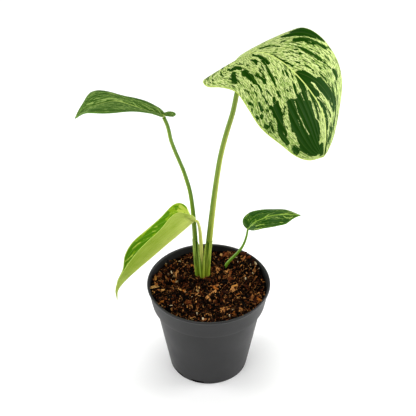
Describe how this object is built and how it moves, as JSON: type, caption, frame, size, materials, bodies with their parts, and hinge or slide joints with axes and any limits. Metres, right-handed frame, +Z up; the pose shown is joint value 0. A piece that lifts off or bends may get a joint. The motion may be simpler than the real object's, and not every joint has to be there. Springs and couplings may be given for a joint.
{
  "type": "variegated monstera in nursery pot",
  "caption": "Young variegated monstera in a round nursery pot: heart shaped marbled leaf on a tall stalk, smaller side leaves, bark and coir mix.",
  "frame": {"origin": "centre of the pot's base, on the surface that the pot stands on", "axes": "+Z up along the pot's axis, +X towards the side that the large leaf hangs over, -Y towards the viewer"},
  "size_m": [0.2353, 0.1267, 0.359],
  "materials": {
    "pot_plastic": "moulded matte dark grey",
    "potting_mix": "loose bark, coir and perlite",
    "stem_green": "satin green stem",
    "stalk_olive": "satin yellow olive stem",
    "stalk_pale": "satin pale green stem",
    "blade_marbled": "satin leaf, cream and dark green marbled",
    "blade_matte_green": "matte green leaf with pale streaks",
    "blade_yellow_green": "satin yellow green leaf",
    "blade_dark_green": "glossy dark green leaf with pale streaks"
  },
  "bodies": {
    "root": {"pot": "pot_plastic", "soil": "potting_mix", "stem": "stem_green", "stalk_large": "stalk_olive", "leaf_large": "blade_marbled", "stalk_left": "stem_green", "leaf_left": "blade_matte_green", "stalk_young": "stalk_pale", "leaf_young": "blade_yellow_green", "stalk_small": "stem_green", "leaf_small": "blade_dark_green"}
  },
  "joints": []
}
